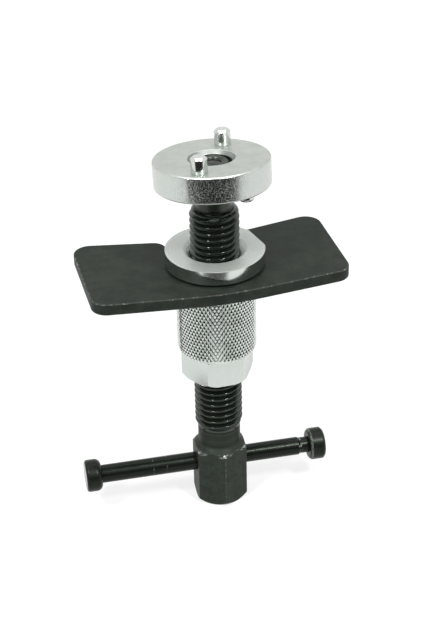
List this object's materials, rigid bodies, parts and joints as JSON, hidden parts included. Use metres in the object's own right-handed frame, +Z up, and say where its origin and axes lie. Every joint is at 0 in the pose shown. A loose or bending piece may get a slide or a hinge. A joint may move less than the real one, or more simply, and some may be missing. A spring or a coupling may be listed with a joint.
{
  "type": "brake caliper piston tool",
  "caption": "Screw-spindle brake piston wind-back tool with sliding tommy bar, flanged knurled nut, slotted reaction plate and two-sided pin adaptor.",
  "frame": {"origin": "centre of the hexagon head's flat foot, on the spindle axis", "axes": "+Z up along the spindle towards the adaptor, +X along the tommy bar, -Y towards the plain front edge of the reaction plate"},
  "size_m": [0.0995, 0.0505, 0.1515],
  "materials": {
    "black_steel": "oiled black oxide",
    "plate_steel": "matte black oxide",
    "zinc_steel": "bright zinc plate",
    "magnet": "satin nickel"
  },
  "bodies": {
    "spindle": {"spindle": "black_steel", "pilot_magnet": "magnet"},
    "bar": {"tommy_bar": "black_steel", "bar_cap_left": "black_steel", "bar_cap_right": "black_steel"},
    "plate": {"reaction_plate": "plate_steel"},
    "nut": {"thrust_nut": "zinc_steel"},
    "adaptor": {"adaptor_disc": "zinc_steel", "upper_pin_1": "zinc_steel", "upper_pin_2": "zinc_steel", "lower_pin_1": "zinc_steel", "lower_pin_2": "zinc_steel"}
  },
  "joints": [
    {"name": "bar_slide", "type": "slide", "parent": "spindle", "child": "bar", "axis": [1, 0, 0], "range_m": [-0.0254, 0.0368]},
    {"name": "plate_travel", "type": "slide", "parent": "spindle", "child": "plate", "axis": [0, 0, 1], "range_m": [-0.0221, 0.0101]},
    {"name": "nut_turn", "type": "hinge", "parent": "plate", "child": "nut", "pos_m": [0, 0, 0.083], "axis": [0, 0, 1], "range_deg": [-3168, 1440]},
    {"name": "adaptor_lift", "type": "slide", "parent": "spindle", "child": "adaptor", "axis": [0, 0, 1], "range_m": [-0.004, 0.022]}
  ],
  "couplings": [
    {"joint": "plate_travel", "follows": "nut_turn", "m_per_rad": 0.00039789}
  ]
}
